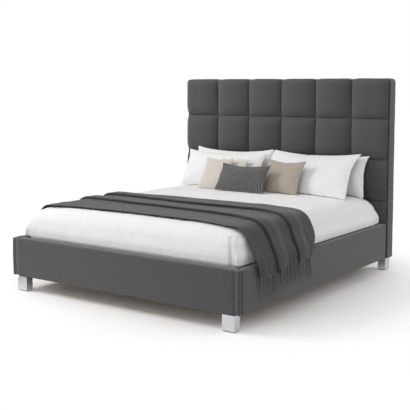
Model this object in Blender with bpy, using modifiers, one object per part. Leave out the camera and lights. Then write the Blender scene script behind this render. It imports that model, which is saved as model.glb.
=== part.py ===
"""Upholstered headboard bed for a 180 x 200 cm mattress, dressed with bedding.

Metres, +Z up, +Y towards the head, X across. The origin is on the floor, under the middle
of the whole bed. Every piece is one closed solid with a small air gap to its neighbours.
"""
from math import cos, radians, sin

import bmesh
import bpy
from mathutils import Matrix, Vector

GAP = 0.0003                    # air between two pieces that touch
CLEAR = 0.003                   # room between pieces that lift in and out

# overall sizes
WIDTH = 1.94                    # outside of one side rail to the outside of the other
BASE_LENGTH = 2.085             # footboard's front to the headboard's front
HEADBOARD_TOP = 1.51
HEADBOARD_DEPTH = 0.13
BASE_BOTTOM = 0.105             # underside of the upholstered base, the legs' height
RAIL_HEIGHT = 0.275
RAIL_DEPTH = 0.07               # width of the ledge round the mattress

# headboard
PAD_DEPTH = 0.06                # biscuit-tufted padding
BORDER_DEPTH = 0.015            # padded band round the headboard's edge
HEAD_BOARD_DEPTH = 0.012
STILE_WIDTH = 0.12
BACK_COVER_DEPTH = 0.004

# base
MITRE_START = 0.02              # along the side, from the footboard's front
COVER_DEPTH = 0.014             # foam and fabric round the rails' timber
BOARD_LIFT = 0.003              # the timber stops short of the covers' hems
LEDGER_SIZE = 0.03
LEDGER_TOP = 0.262
SLAT_COUNT = 11
SLAT_WIDTH = 0.09
SLAT_DEPTH = 0.02
BEAM_WIDTH = 0.04
BEAM_HEIGHT = 0.07
SOCKET_DEPTH = 0.003
SOCKET_LIP = 0.02
BRACKET_LEG = 0.05
BRACKET_DEPTH = 0.004
BRACKET_HEIGHT = 0.10
STUD_RADIUS = 0.004
STUD_LENGTH = 0.04              # into the timber behind the fabric
REAR_STUD_LENGTH = 0.11         # through the headboard's pad and panel into its stile

# legs
FRONT_LEG = (0.09, 0.06)        # across, along the bed
REAR_LEG = (0.065, 0.078)
FRONT_LEG_INSET = 0.042         # from the outside of the side rails
REAR_LEG_INSET = 0.024
FRONT_LEG_SETBACK = 0.008       # from the footboard's front
GLIDE_DEPTH = 0.005
GLIDE_INSET = 0.006
LEG_STUD_RADIUS = 0.005
LEG_STUD_LENGTH = 0.035
STUD_ROOM = 0.0006              # between a stud and its hole
CENTRE_LEG_RADIUS = 0.016       # centre legs under the beam
FOOT_RADIUS = 0.024
FOOT_DEPTH = 0.012
SCREW_RADIUS = 0.005
SCREW_LENGTH = 0.035
SCREW_ROOM = 0.003
FOOT_TRAVEL = 0.012             # how far each levelling foot screws up into its leg

# bedding
MATTRESS_DEPTH = 0.297
DUVET_TOP = 0.022
DUVET_SIDE = 0.008
DUVET_EDGE = 0.14               # its rounded edges
MATTRESS_EDGE = 0.125
DUVET_TUCK = 0.06               # how far the bedding goes down behind the rails
EDGE_STEPS = 6
THROW_LENGTH = 0.82             # along the bed, where it lies on top
THROW_DROP_LENGTH = 0.65        # along the bed, at its hems
THROW_FROM_FOOT = 0.215
THROW_DROP_SHIFT = 0.11         # how far its hems slip towards the foot
THROW_DEPTH = 0.018
HEM_DROP = 0.07                 # below the top of the rails
THROW_LIFT = 0.002
FRINGE_LENGTH = 0.13
FRINGE_DEPTH = 0.008
CUSHION_GRID = 8                # squares across and along each cushion
CUSHION_WAIST = 0.035           # how far its sides are drawn in, as a share of its width
CUSHION_RIM = 0.008             # half its thickness at its edges
PILLOW_REST = 0.012             # a pillow's lower edge above the bedding
CUSHION_REST = 0.025
# Each pillow: across, along its slope and thick; lean; middle across; lower edge to headboard.
PILLOWS = {
    "left_back_pillow": ((0.78, 0.34, 0.10), radians(70), -0.395, 0.195),
    "left_front_pillow": ((0.78, 0.33, 0.10), radians(64), -0.41, 0.325),
    "right_back_pillow": ((0.78, 0.32, 0.11), radians(70), 0.455, 0.14),
    "right_front_pillow": ((0.79, 0.43, 0.10), radians(48), 0.41, 0.385),
}
# Each cushion: the same, then its turn and its finish.
CUSHIONS = {
    "ivory_cushion": ((0.27, 0.26, 0.04), radians(64), -0.118, 0.4, 0.0, "ivory"),
    "cream_cushion": ((0.27, 0.26, 0.05), radians(60), -0.235, 0.475, 0.0, "cream"),
    "beige_cushion": ((0.27, 0.28, 0.06), radians(58), -0.338, 0.555, radians(4), "beige"),
    "taupe_cushion": ((0.34, 0.30, 0.08), radians(56), 0.262, 0.485, 0.0, "taupe"),
    "lumbar_cushion": ((0.455, 0.24, 0.065), radians(58), -0.028, 0.615, 0.0, "knit"),
}

# places worked out from the sizes
LENGTH = BASE_LENGTH + HEADBOARD_DEPTH
FOOT_Y = -LENGTH / 2
HEAD_Y = FOOT_Y + BASE_LENGTH
HALF = WIDTH / 2
RAIL_TOP = BASE_BOTTOM + RAIL_HEIGHT
INNER_X = HALF - RAIL_DEPTH
INNER_FOOT_Y = FOOT_Y + RAIL_DEPTH
SLAT_TOP = LEDGER_TOP + GAP + SLAT_DEPTH
MATTRESS_TOP = SLAT_TOP + GAP + MATTRESS_DEPTH
BED_TOP = MATTRESS_TOP + GAP + DUVET_TOP
HEM_HEIGHT = RAIL_TOP - HEM_DROP


def clear_scene():
    for obj in list(bpy.data.objects):
        bpy.data.objects.remove(obj, do_unlink=True)


def new_collection(name):
    collection = bpy.data.collections.new(name)
    bpy.context.scene.collection.children.link(collection)
    return collection


def material(name, color, roughness, metallic=0.0):
    mat = bpy.data.materials.new(name)
    mat.use_nodes = True
    shader = mat.node_tree.nodes["Principled BSDF"]
    shader.inputs["Base Color"].default_value = (*color, 1.0)
    shader.inputs["Roughness"].default_value = roughness
    shader.inputs["Metallic"].default_value = metallic
    return mat


def charcoal_fabric():
    return material("charcoal_fabric", (0.085, 0.085, 0.088), 0.92)


def pine():
    return material("pine", (0.62, 0.45, 0.27), 0.6)


def plywood():
    return material("plywood", (0.55, 0.40, 0.25), 0.65)


def black_cloth():
    return material("black_cloth", (0.02, 0.02, 0.022), 0.95)


def chrome():
    return material("chrome", (0.80, 0.80, 0.82), 0.12, 1.0)


def zinc_steel():
    return material("zinc_steel", (0.56, 0.57, 0.58), 0.38, 0.9)


def black_steel():
    return material("black_steel", (0.03, 0.03, 0.032), 0.45, 0.3)


def black_plastic():
    return material("black_plastic", (0.025, 0.025, 0.027), 0.6)


def mattress_ticking():
    return material("mattress_ticking", (0.82, 0.81, 0.78), 0.9)


def white_cotton():
    return material("white_cotton", (0.90, 0.90, 0.90), 0.88)


def beige_linen():
    return material("beige_linen", (0.60, 0.56, 0.50), 0.9)


def cream_linen():
    return material("cream_linen", (0.72, 0.70, 0.65), 0.9)


def ivory_linen():
    return material("ivory_linen", (0.78, 0.77, 0.74), 0.9)


def taupe_linen():
    return material("taupe_linen", (0.37, 0.32, 0.27), 0.9)


def grey_knit():
    return material("grey_knit", (0.115, 0.115, 0.11), 0.95)


def grey_wool():
    return material("grey_wool", (0.13, 0.13, 0.128), 0.95)


class Palette:
    """One material of each kind, shared by the pieces that are made of it."""

    def __init__(self):
        self.fabric = charcoal_fabric()
        self.pine = pine()
        self.plywood = plywood()
        self.black_cloth = black_cloth()
        self.chrome = chrome()
        self.zinc = zinc_steel()
        self.black_steel = black_steel()
        self.plastic = black_plastic()
        self.ticking = mattress_ticking()
        self.cotton = white_cotton()
        self.beige = beige_linen()
        self.cream = cream_linen()
        self.ivory = ivory_linen()
        self.taupe = taupe_linen()
        self.knit = grey_knit()
        self.wool = grey_wool()


def add_object(name, bm, mat, parts):
    mesh = bpy.data.meshes.new(name)
    bm.to_mesh(mesh)
    bm.free()
    mesh.materials.append(mat)
    obj = bpy.data.objects.new(name, mesh)
    parts.objects.link(obj)
    return obj


def block(name, low, high, mat, parts, bevel=0.0, segments=2):
    """A box between two corners, its object at its middle, with rounded edges if asked."""
    low = Vector(low)
    high = Vector(high)
    size = high - low
    bm = bmesh.new()
    bmesh.ops.create_cube(bm, size=1.0, matrix=Matrix.Diagonal((*size, 1.0)))
    obj = add_object(name, bm, mat, parts)
    obj.location = (low + high) / 2
    if bevel:
        round_edges(obj, bevel, segments)
    return obj


def round_edges(obj, width, segments):
    bevel = obj.modifiers.new("rounded_edges", "BEVEL")
    bevel.width = width
    bevel.segments = segments
    bevel.limit_method = "ANGLE"


def rod(name, base, top, radius, mat, parts, sides=24):
    """A round bar from base to top."""
    base = Vector(base)
    top = Vector(top)
    bm = bmesh.new()
    bmesh.ops.create_cone(
        bm, cap_ends=True, segments=sides, radius1=radius, radius2=radius, depth=(top - base).length
    )
    obj = add_object(name, bm, mat, parts)
    obj.location = (base + top) / 2
    obj.rotation_euler = (top - base).to_track_quat("Z", "Y").to_euler()
    obj.data.shade_smooth()
    obj.data.set_sharp_from_angle(angle=radians(40))
    return obj


def join_with(obj, other, operation="UNION"):
    cut = obj.modifiers.new(operation.lower(), "BOOLEAN")
    cut.operation = operation
    cut.object = other


def helper_block(name, low, high, tools):
    tool = block(name, low, high, None, tools)
    hide_tool(tool)
    return tool


def helper_rod(name, base, top, radius, tools, sides=16):
    tool = rod(name, base, top, radius, None, tools, sides)
    hide_tool(tool)
    return tool


def hide_tool(tool):
    tool.hide_render = True
    tool.display_type = "WIRE"


def turned(name, profile, place, mat, parts, steps=24):
    """A turned piece from a profile of (radius, height) points, listed from the top down."""
    mesh = bpy.data.meshes.new(name)
    edges = [(i, i + 1) for i in range(len(profile) - 1)]
    mesh.from_pydata([(r, 0, z) for r, z in profile], edges, [])
    mesh.materials.append(mat)
    obj = bpy.data.objects.new(name, mesh)
    parts.objects.link(obj)
    obj.location = place
    screw = obj.modifiers.new("turn", "SCREW")
    screw.steps = steps
    screw.render_steps = steps
    screw.use_merge_vertices = True
    screw.merge_threshold = 0.00005
    screw.use_smooth_shade = True
    return obj


def cushion(name, size, mat, parts, place, turn=(0, 0, 0), pinch=0.55):
    """A pillow: a rounded pad that is thickest in its middle and thin at its pointed corners."""
    wide, tall, thick = size
    bm = bmesh.new()
    bmesh.ops.create_grid(bm, x_segments=CUSHION_GRID, y_segments=CUSHION_GRID, size=0.5)
    bmesh.ops.solidify(bm, geom=bm.faces[:], thickness=0.02)
    for vert in bm.verts:
        u = vert.co.x * 2
        v = vert.co.y * 2
        side = 1 if vert.co.z > -0.01 else -1
        crown = ((1 - abs(u) ** 2.4) * (1 - abs(v) ** 2.4)) ** pinch
        vert.co.x = u * wide / 2 * (1 - CUSHION_WAIST * (1 - v * v) * abs(u))
        vert.co.y = v * tall / 2 * (1 - CUSHION_WAIST * (1 - u * u) * abs(v))
        vert.co.z = side * (CUSHION_RIM + (thick / 2 - CUSHION_RIM) * crown)
    bmesh.ops.recalc_face_normals(bm, faces=bm.faces[:])
    obj = add_object(name, bm, mat, parts)
    obj.location = place
    obj.rotation_euler = turn
    obj.data.shade_smooth()
    return obj


def prism(name, outline, low, high, mat, parts):
    """An upright prism: a flat outline of (x, y) points, counter-clockwise, from low to high."""
    bm = bmesh.new()
    base = bm.faces.new([bm.verts.new((x, y, low)) for x, y in outline])
    top = bmesh.ops.extrude_face_region(bm, geom=[base])
    raised = [item for item in top["geom"] if isinstance(item, bmesh.types.BMVert)]
    bmesh.ops.translate(bm, verts=raised, vec=(0, 0, high - low))
    bmesh.ops.recalc_face_normals(bm, faces=bm.faces[:])
    return add_object(name, bm, mat, parts)


def cover(name, outline, pocket_low, pocket_high, mat, parts, tools):
    """Padded fabric over a rail: a prism with a pocket for the timber, open underneath."""
    shell = prism(name, outline, BASE_BOTTOM, RAIL_TOP, mat, parts)
    round_edges(shell, 0.012, 2)
    pocket = helper_block(name + "_pocket", pocket_low, pocket_high, tools)
    join_with(shell, pocket, "DIFFERENCE")
    return shell


def mirrored(points, side):
    """Outline points for the left side (side -1), kept counter-clockwise."""
    if side > 0:
        return points
    return [(-x, y) for x, y in reversed(points)]


def side_name(side):
    return "right" if side > 0 else "left"


def span(side, near, far):
    """A low and a high X for a stretch that lies from near to far on one side."""
    ends = sorted((side * near, side * far))
    return ends[0], ends[1]


def build_footboard(palette, parts, tools):
    mitre = RAIL_DEPTH - MITRE_START
    back = FOOT_Y + RAIL_DEPTH - GAP
    outline = [
        (-HALF, FOOT_Y), (HALF, FOOT_Y), (HALF, FOOT_Y + MITRE_START), (HALF - mitre, back),
        (-HALF + mitre, back), (-HALF, FOOT_Y + MITRE_START),
    ]
    board_end = HALF - mitre - COVER_DEPTH
    low = Vector((-board_end, FOOT_Y + COVER_DEPTH, BASE_BOTTOM + BOARD_LIFT))
    high = Vector((board_end, FOOT_Y + RAIL_DEPTH - COVER_DEPTH, RAIL_TOP - COVER_DEPTH))
    board = block("footboard_board", low, high, palette.plywood, parts)
    shell = cover(
        "footboard_cover", outline, pocket_floor(low), high + Vector((GAP, GAP, GAP)),
        palette.fabric, parts, tools,
    )
    return board, shell


def pocket_floor(low):
    """A pocket starts under the cover, so that its mouth is open."""
    return Vector((low.x - GAP, low.y - GAP, BASE_BOTTOM - 0.01))


def build_side_rail(side, palette, parts, tools):
    mitre = RAIL_DEPTH - MITRE_START
    inner_end = FOOT_Y + RAIL_DEPTH
    head = HEAD_Y - GAP
    outline = mirrored(
        [
            (INNER_X, inner_end), (HALF - mitre, inner_end), (HALF, FOOT_Y + MITRE_START + GAP),
            (HALF, head), (INNER_X, head),
        ],
        side,
    )
    left, right = span(side, INNER_X + COVER_DEPTH, HALF - COVER_DEPTH)
    low = Vector((left, inner_end + COVER_DEPTH, BASE_BOTTOM + BOARD_LIFT))
    high = Vector((right, head - COVER_DEPTH, RAIL_TOP - COVER_DEPTH))
    name = side_name(side)
    board = block(f"{name}_rail_board", low, high, palette.plywood, parts)
    shell = cover(
        f"{name}_rail_cover", outline, pocket_floor(low), high + Vector((GAP, GAP, GAP)),
        palette.fabric, parts, tools,
    )
    return board, shell


def build_bracket(name, side, end, wall_y, end_stud, palette, parts, tools, targets):
    """A steel angle in an inner corner, with a stud into the rail and one into the end timber."""
    low = BASE_BOTTOM + 0.02
    high = low + BRACKET_HEIGHT
    face_x = INNER_X - GAP
    face_y = wall_y + end * GAP
    far_y = wall_y + end * BRACKET_LEG
    left, right = span(side, face_x - BRACKET_DEPTH, face_x)
    ends = sorted((face_y, far_y))
    along_rail = block(name, (left, ends[0], low), (right, ends[1], high), palette.zinc, parts)
    left, right = span(side, face_x - BRACKET_LEG, face_x)
    ends = sorted((face_y, face_y + end * BRACKET_DEPTH))
    across = helper_block(name + "_flange", (left, ends[0], low), (right, ends[1], high), tools)
    join_with(along_rail, across)
    middle = (low + high) / 2
    stud_y = wall_y + end * BRACKET_LEG * 0.6
    stud_x = side * (face_x - BRACKET_LEG * 0.6)
    inner = side * (face_x - BRACKET_DEPTH / 2)
    studs = (
        ((inner, stud_y, middle), (inner + side * STUD_LENGTH, stud_y, middle)),
        (
            (stud_x, face_y + end * BRACKET_DEPTH / 2, middle),
            (stud_x, face_y + end * BRACKET_DEPTH / 2 - end * end_stud, middle),
        ),
    )
    for number, (start, stop) in enumerate(studs):
        stud = helper_rod(f"{name}_stud_{number}", start, stop, STUD_RADIUS, tools, 12)
        join_with(along_rail, stud)
        reach = (Vector(stop) - Vector(start)).normalized() * 0.002
        hole = helper_rod(
            f"{name}_hole_{number}", start, Vector(stop) + reach, STUD_RADIUS + STUD_ROOM, tools, 12
        )
        for target in targets[number]:
            join_with(target, hole, "DIFFERENCE")


def build_leg(name, place, size, palette, parts, tools, target):
    """A chrome block with a stud up into the timber, on a plastic glide."""
    x, y = place
    half_x = size[0] / 2
    half_y = size[1] / 2
    top = BASE_BOTTOM - GAP
    leg = block(
        name, (x - half_x, y - half_y, GLIDE_DEPTH + GAP), (x + half_x, y + half_y, top),
        palette.chrome, parts, 0.0015, 1,
    )
    stud_top = BASE_BOTTOM + LEG_STUD_LENGTH
    stud = helper_rod(name + "_stud", (x, y, top - 0.01), (x, y, stud_top), LEG_STUD_RADIUS, tools, 12)
    join_with(leg, stud)
    hole = helper_rod(
        name + "_hole", (x, y, BASE_BOTTOM - 0.01), (x, y, stud_top + 0.002),
        LEG_STUD_RADIUS + STUD_ROOM, tools, 12,
    )
    join_with(target, hole, "DIFFERENCE")
    block(
        name.replace("leg", "glide"),
        (x - half_x + GLIDE_INSET, y - half_y + GLIDE_INSET, 0),
        (x + half_x - GLIDE_INSET, y + half_y - GLIDE_INSET, GLIDE_DEPTH),
        palette.plastic, parts,
    )


def build_headboard(palette, parts):
    """Tufted pad, panel and timber frame from front to back, inside a padded border."""
    pad_back = HEAD_Y + PAD_DEPTH
    panel_back = pad_back + GAP + HEAD_BOARD_DEPTH
    frame_back = HEAD_Y + HEADBOARD_DEPTH - BACK_COVER_DEPTH - GAP
    inner = HALF - BORDER_DEPTH - GAP
    inner_top = HEADBOARD_TOP - BORDER_DEPTH - GAP
    bottom = BASE_BOTTOM
    pad = block(
        "headboard_tufted_pad", (-inner, HEAD_Y, bottom), (inner, pad_back, inner_top),
        palette.fabric, parts, 0.018, 2,
    )
    panel = block(
        "headboard_panel", (-inner, pad_back + GAP, bottom), (inner, panel_back, inner_top),
        palette.plywood, parts,
    )
    stiles = []
    for side in (-1, 1):
        left, right = span(side, inner - STILE_WIDTH, inner)
        stiles.append(block(
            f"headboard_{side_name(side)}_stile", (left, panel_back + GAP, bottom),
            (right, frame_back, inner_top), palette.pine, parts,
        ))
        left, right = span(side, HALF - BORDER_DEPTH, HALF)
        block(
            f"headboard_{side_name(side)}_border", (left, HEAD_Y, bottom),
            (right, HEAD_Y + HEADBOARD_DEPTH, HEADBOARD_TOP - BORDER_DEPTH - GAP),
            palette.fabric, parts, 0.005, 2,
        )
    block(
        "headboard_top_border", (-HALF, HEAD_Y, HEADBOARD_TOP - BORDER_DEPTH),
        (HALF, HEAD_Y + HEADBOARD_DEPTH, HEADBOARD_TOP), palette.fabric, parts, 0.006, 2,
    )
    rail_end = inner - STILE_WIDTH - GAP
    heights = {
        "headboard_top_rail": inner_top - STILE_WIDTH,
        "headboard_bottom_rail": bottom,
    }
    for name, low in heights.items():
        block(
            name, (-rail_end, panel_back + GAP, low), (rail_end, frame_back, low + STILE_WIDTH),
            palette.pine, parts,
        )
    block(
        "headboard_back_cover", (-inner, frame_back + GAP, bottom),
        (inner, HEAD_Y + HEADBOARD_DEPTH, inner_top), palette.black_cloth, parts,
    )
    return pad, panel, stiles


def build_slatted_base(palette, parts):
    """Ledgers along the rails, a centre beam between two sockets, and the slats across."""
    start = INNER_FOOT_Y + BRACKET_DEPTH + 2 * GAP
    stop = HEAD_Y - GAP
    for side in (-1, 1):
        left, right = span(side, INNER_X - GAP - LEDGER_SIZE, INNER_X - GAP)
        block(
            f"{side_name(side)}_slat_ledger", (left, start, LEDGER_TOP - LEDGER_SIZE),
            (right, stop, LEDGER_TOP), palette.pine, parts,
        )
    beam_start = INNER_FOOT_Y + SOCKET_DEPTH + 2 * GAP
    beam_stop = HEAD_Y - SOCKET_DEPTH - 2 * GAP
    beam_low = LEDGER_TOP - BEAM_HEIGHT
    half_beam = BEAM_WIDTH / 2
    beam = block(
        "centre_beam", (-half_beam, beam_start, beam_low), (half_beam, beam_stop, LEDGER_TOP),
        palette.pine, parts,
    )
    pitch = (HEAD_Y - INNER_FOOT_Y - 2 * CLEAR - SLAT_WIDTH) / (SLAT_COUNT - 1)
    for number in range(SLAT_COUNT):
        y = INNER_FOOT_Y + CLEAR + number * pitch
        block(
            f"slat_{number + 1:02d}", (-INNER_X + CLEAR, y, LEDGER_TOP + GAP),
            (INNER_X - CLEAR, y + SLAT_WIDTH, SLAT_TOP), palette.pine, parts, 0.003, 1,
        )
    return beam, beam_low


def build_socket(name, wall_y, end, beam_low, palette, parts, tools):
    """A steel saddle on an end board, open on top, that the beam drops into."""
    half = BEAM_WIDTH / 2 + CLEAR / 2
    wall = SOCKET_DEPTH
    ends = sorted((wall_y + end * GAP, wall_y + end * (GAP + SOCKET_LIP)))
    low = beam_low - GAP - wall
    high = LEDGER_TOP - 0.01
    saddle = block(name, (-half - wall, ends[0], low), (half + wall, ends[1], high), palette.zinc, parts)
    slot_ends = sorted((wall_y + end * (GAP + wall), wall_y + end * (SOCKET_LIP + 0.01)))
    slot = helper_block(
        name + "_slot", (-half, slot_ends[0], beam_low - GAP), (half, slot_ends[1], high + 0.01), tools
    )
    join_with(saddle, slot, "DIFFERENCE")


def build_centre_leg(number, y, beam_low, palette, parts, tools):
    """A steel tube under the beam with a screw foot that turns up into it to level the bed."""
    tube_top = beam_low - GAP
    tube_low = FOOT_DEPTH + FOOT_TRAVEL + SCREW_ROOM
    bore_radius = SCREW_RADIUS + SCREW_ROOM
    bore_top = tube_low + SCREW_LENGTH + SCREW_ROOM
    tube = rod(
        f"centre_leg_{number}", (0, y, tube_low), (0, y, tube_top), CENTRE_LEG_RADIUS,
        palette.black_steel, parts,
    )
    bore = helper_rod(
        f"centre_leg_bore_{number}", (0, y, tube_low - 0.01), (0, y, bore_top), bore_radius, tools
    )
    join_with(tube, bore, "DIFFERENCE")
    edge = 0.003
    screw_top = FOOT_DEPTH + SCREW_LENGTH - SCREW_ROOM
    profile = [
        (0, screw_top), (SCREW_RADIUS, screw_top), (SCREW_RADIUS, FOOT_DEPTH),
        (FOOT_RADIUS - edge, FOOT_DEPTH), (FOOT_RADIUS, FOOT_DEPTH - edge), (FOOT_RADIUS, 0), (0, 0),
    ]
    turned(f"levelling_foot_{number}", profile, (0, y, 0), palette.plastic, parts)


def rounded_slab(name, low, high, mat, parts, tools, radius):
    """A block with a rounded top and upright corners, and a flat underside."""
    deep = Vector(low) - Vector((0, 0, 2 * radius))
    slab = block(name, deep, high, mat, parts, radius, EDGE_STEPS)
    reach = Vector((radius, radius, radius))
    end = Vector((high[0], high[1], low[2])) + Vector((radius, radius, 0))
    under = helper_block(name + "_underside", deep - reach, end, tools)
    join_with(slab, under, "DIFFERENCE")
    return slab


def build_mattress(palette, parts, tools):
    low = (-INNER_X + CLEAR + DUVET_SIDE + GAP, INNER_FOOT_Y + CLEAR + DUVET_SIDE + GAP, SLAT_TOP + GAP)
    high = (-low[0], HEAD_Y - CLEAR - DUVET_SIDE - GAP, MATTRESS_TOP)
    rounded_slab("mattress", low, high, palette.ticking, parts, tools, MATTRESS_EDGE)


def build_duvet(palette, parts, tools):
    """White bedding as a cap over the mattress: a rounded slab hollowed from underneath."""
    tucked = max(RAIL_TOP - DUVET_TUCK, SLAT_TOP + GAP)
    low = Vector((-INNER_X + CLEAR, INNER_FOOT_Y + CLEAR, tucked))
    high = Vector((INNER_X - CLEAR, HEAD_Y - CLEAR, BED_TOP))
    duvet = rounded_slab("duvet", low, high, palette.cotton, parts, tools, DUVET_EDGE)
    inset = Vector((DUVET_SIDE, DUVET_SIDE, 0))
    deep = Vector((0, 0, 2 * MATTRESS_EDGE))
    hollow = block(
        "duvet_hollow", low + inset - deep, high - inset - Vector((0, 0, DUVET_TOP)),
        None, tools, MATTRESS_EDGE, EDGE_STEPS,
    )
    hide_tool(hollow)
    join_with(duvet, hollow, "DIFFERENCE")


def build_throw(palette, parts):
    """A folded throw as one thick strip across the bed, hanging over both side rails."""
    corner_x = INNER_X - CLEAR - DUVET_EDGE
    corner_z = BED_TOP - DUVET_EDGE
    radius = DUVET_EDGE + THROW_LIFT
    angles = [radians(90 * (1 - step / EDGE_STEPS)) for step in range(EDGE_STEPS + 1)]
    profile = [(0.0, BED_TOP + THROW_LIFT)]
    profile += [(corner_x + radius * cos(a), corner_z + radius * sin(a)) for a in angles]
    profile += [
        (INNER_X + 0.02, RAIL_TOP + 0.05), (INNER_X + 0.045, RAIL_TOP + 0.012),
        (HALF - 0.012, RAIL_TOP + 0.003), (HALF + 0.002, RAIL_TOP - 0.006),
        (HALF + 0.003, RAIL_TOP - 0.03), (HALF + 0.003, HEM_HEIGHT),
        (HALF + 0.003, HEM_HEIGHT - FRINGE_LENGTH),
    ]
    strip = [(-x, z) for x, z in reversed(profile[1:])] + profile
    middle = FOOT_Y + THROW_FROM_FOOT + THROW_LENGTH / 2
    mesh = bpy.data.meshes.new("throw")
    verts = []
    for x, z in strip:
        fallen = min(1.0, max(0.0, (BED_TOP - z) / (BED_TOP - HEM_HEIGHT)))
        half = (THROW_LENGTH + (THROW_DROP_LENGTH - THROW_LENGTH) * fallen) / 2
        centre = middle - THROW_DROP_SHIFT * fallen
        verts.append((x, centre - half, z))
        verts.append((x, centre + half, z))
    faces = [(2 * i, 2 * i + 2, 2 * i + 3, 2 * i + 1) for i in range(len(strip) - 1)]
    mesh.from_pydata(verts, [], faces)
    mesh.materials.append(palette.wool)
    obj = bpy.data.objects.new("throw", mesh)
    parts.objects.link(obj)
    thick = obj.modifiers.new("thickness", "SOLIDIFY")
    thick.thickness = THROW_DEPTH
    thick.offset = 1.0
    thick.use_even_offset = True


def leaning(name, size, mat, parts, x, foot_y, foot_z, lean, turn=0.0):
    """A cushion whose lower edge is at foot_y, foot_z, leaning back towards the head."""
    half = size[1] / 2
    place = (x, foot_y + half * cos(lean), foot_z + half * sin(lean))
    return cushion(name, size, mat, parts, place, (lean, 0, turn))


def build_pillows(palette, parts):
    """Two pairs against the headboard: each front pillow overlaps the one behind it."""
    for name, (size, lean, x, to_head) in PILLOWS.items():
        leaning(name, size, palette.cotton, parts, x, HEAD_Y - to_head, BED_TOP + PILLOW_REST, lean)


def build_cushions(palette, parts):
    """Square cushions in front of the pillows, and a long one in front of those."""
    for name, (size, lean, x, to_head, turn, finish) in CUSHIONS.items():
        mat = getattr(palette, finish)
        leaning(name, size, mat, parts, x, HEAD_Y - to_head, BED_TOP + CUSHION_REST, lean, turn)


def main():
    clear_scene()
    parts = new_collection("upholstered_headboard_bed")
    tools = new_collection("cutters")
    palette = Palette()
    end_board, end_cover = build_footboard(palette, parts, tools)
    pad, panel, stiles = build_headboard(palette, parts)
    for side, stile in zip((-1, 1), stiles):
        board, shell = build_side_rail(side, palette, parts, tools)
        name = side_name(side)
        build_bracket(
            f"{name}_front_bracket", side, 1, INNER_FOOT_Y, STUD_LENGTH, palette, parts, tools,
            ((board, shell), (end_board, end_cover)),
        )
        build_bracket(
            f"{name}_rear_bracket", side, -1, HEAD_Y, REAR_STUD_LENGTH, palette, parts, tools,
            ((board, shell), (pad, panel, stile)),
        )
        front_x = side * (HALF - FRONT_LEG_INSET - FRONT_LEG[0] / 2)
        front_y = FOOT_Y + FRONT_LEG_SETBACK + FRONT_LEG[1] / 2
        build_leg(f"{name}_front_leg", (front_x, front_y), FRONT_LEG, palette, parts, tools, end_board)
        rear_x = side * (HALF - REAR_LEG_INSET - REAR_LEG[0] / 2)
        rear_y = HEAD_Y + HEADBOARD_DEPTH - 0.002 - REAR_LEG[1] / 2
        build_leg(f"{name}_rear_leg", (rear_x, rear_y), REAR_LEG, palette, parts, tools, stile)
    beam, beam_low = build_slatted_base(palette, parts)
    build_socket("front_beam_socket", INNER_FOOT_Y, 1, beam_low, palette, parts, tools)
    build_socket("rear_beam_socket", HEAD_Y, -1, beam_low, palette, parts, tools)
    for number, share in ((1, 1 / 3), (2, 2 / 3)):
        y = INNER_FOOT_Y + (HEAD_Y - INNER_FOOT_Y) * share
        build_centre_leg(number, y, beam_low, palette, parts, tools)
    build_mattress(palette, parts, tools)
    build_duvet(palette, parts, tools)
    build_throw(palette, parts)
    build_pillows(palette, parts)
    build_cushions(palette, parts)


main()
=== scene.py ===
"""Looks of an upholstered headboard bed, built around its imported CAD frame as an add-on."""
from contextlib import contextmanager
from math import atan2, copysign, cos, exp, pi, radians, sin, sqrt

import bpy
from bpy.props import FloatProperty, FloatVectorProperty, IntProperty, PointerProperty
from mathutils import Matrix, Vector, noise


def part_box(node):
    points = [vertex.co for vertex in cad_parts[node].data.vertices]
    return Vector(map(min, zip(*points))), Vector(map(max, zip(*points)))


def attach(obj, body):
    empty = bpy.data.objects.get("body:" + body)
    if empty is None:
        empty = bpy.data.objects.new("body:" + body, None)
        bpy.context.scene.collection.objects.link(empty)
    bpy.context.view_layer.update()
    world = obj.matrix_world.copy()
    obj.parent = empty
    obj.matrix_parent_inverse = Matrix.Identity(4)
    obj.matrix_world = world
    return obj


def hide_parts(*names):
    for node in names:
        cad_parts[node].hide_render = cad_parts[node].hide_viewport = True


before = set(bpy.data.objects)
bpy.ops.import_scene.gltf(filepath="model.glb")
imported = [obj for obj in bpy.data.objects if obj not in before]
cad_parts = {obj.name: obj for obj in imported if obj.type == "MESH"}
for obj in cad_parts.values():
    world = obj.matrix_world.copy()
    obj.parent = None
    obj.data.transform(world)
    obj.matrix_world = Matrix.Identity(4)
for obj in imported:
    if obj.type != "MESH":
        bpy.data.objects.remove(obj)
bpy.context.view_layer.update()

bl_info = {
    "name": "Upholstered Headboard Bed",
    "version": (1, 0, 0),
    "blender": (4, 5, 0),
    "location": "View3D > Sidebar > Bed",
    "description": "Builds the cloth, padding and finishes of an upholstered bed",
    "category": "Object",
}

BODY = "bed"
BEDDING_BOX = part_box("duvet")
FOOTBOARD_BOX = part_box("footboard_cover")


# ---------------------------------------------------------------- sizes and colours

def length(name, description, default):
    return FloatProperty(name=name, description=description, default=default, unit="LENGTH")


def count(name, description, default):
    return IntProperty(name=name, description=description, default=default, min=1)


def swatch(name, description, *default):
    return FloatVectorProperty(name=name, description=description, subtype="COLOR", default=default)


class BedSizes(bpy.types.PropertyGroup):
    cell_columns: count("Cell columns", "Tufted cells across", 6)
    cell_rows: count("Cell rows", "Whole rows of tufted cells", 4)
    cell_height: length("Cell height", "Pitch of the tufted rows", 0.32)
    cell_crown: length("Cell crown", "How far a cell swells over its seams", 0.056)
    tassels: count("Tassels", "Tassels on each fold's hem", 9)
    tassel_length: length("Tassel length", "Length of a twisted tassel", 0.118)


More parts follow.
